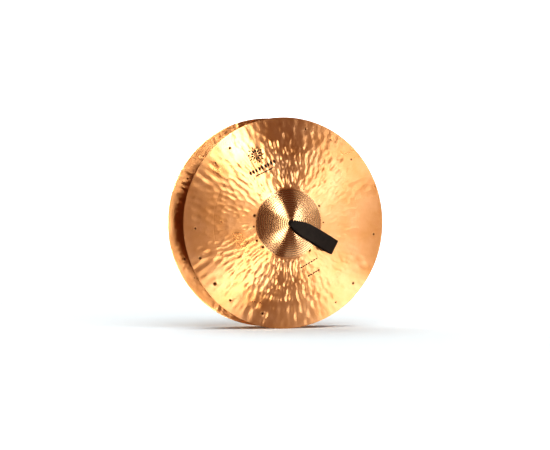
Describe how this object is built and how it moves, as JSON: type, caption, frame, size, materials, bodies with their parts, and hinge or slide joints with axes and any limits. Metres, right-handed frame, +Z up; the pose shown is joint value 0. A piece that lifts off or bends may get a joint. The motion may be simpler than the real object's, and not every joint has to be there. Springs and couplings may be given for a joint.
{
  "type": "hand cymbals",
  "caption": "Matched pair of orchestral hand cymbals facing each other on a level axis, each with a domed bell and a folded leather hand strap laced through its central hole.",
  "frame": {"origin": "on the common axis of the two plates, midway between their rim planes, with the pair 112 mm apart as stored", "axes": "+Y along the common axis, from the front cymbal to the rear one; +Z up with the plates standing on edge; +X to the right seen from the front cymbal's bell"},
  "size_m": [0.4572, 0.2344, 0.4572],
  "materials": {
    "bronze": "lathed and hammered, satin",
    "strap_leather": "smooth, black, low sheen"
  },
  "bodies": {
    "front_cymbal": {"front_plate": "bronze"},
    "front_lacing": {"front_knot": "strap_leather", "front_lace_1": "strap_leather", "front_lace_2": "strap_leather", "front_lace_3": "strap_leather", "front_lace_4": "strap_leather"},
    "front_grip": {"front_strap_grip": "strap_leather"},
    "rear_cymbal": {"rear_plate": "bronze"},
    "rear_lacing": {"rear_knot": "strap_leather", "rear_lace_1": "strap_leather", "rear_lace_2": "strap_leather", "rear_lace_3": "strap_leather", "rear_lace_4": "strap_leather"},
    "rear_grip": {"rear_strap_grip": "strap_leather"}
  },
  "joints": [
    {"name": "pair_slide", "type": "slide", "parent": "front_cymbal", "child": "rear_cymbal", "axis": [0, 1, 0], "range_m": [-0.1116, 0.3]},
    {"name": "front_strap_spin", "type": "hinge", "parent": "front_cymbal", "child": "front_lacing", "pos_m": [0, -0.1, 0], "axis": [0, -1, 0], "continuous": true},
    {"name": "front_strap_swing", "type": "hinge", "parent": "front_lacing", "child": "front_grip", "pos_m": [0, -0.10721, 0], "axis": [-0.4587, 0, -0.8886], "range_deg": [0, 90]},
    {"name": "rear_strap_spin", "type": "hinge", "parent": "rear_cymbal", "child": "rear_lacing", "pos_m": [0, 0.1, 0], "axis": [0, 1, 0], "continuous": true},
    {"name": "rear_strap_swing", "type": "hinge", "parent": "rear_lacing", "child": "rear_grip", "pos_m": [0, 0.10721, 0], "axis": [0.4587, 0, -0.8886], "range_deg": [0, 90]}
  ]
}
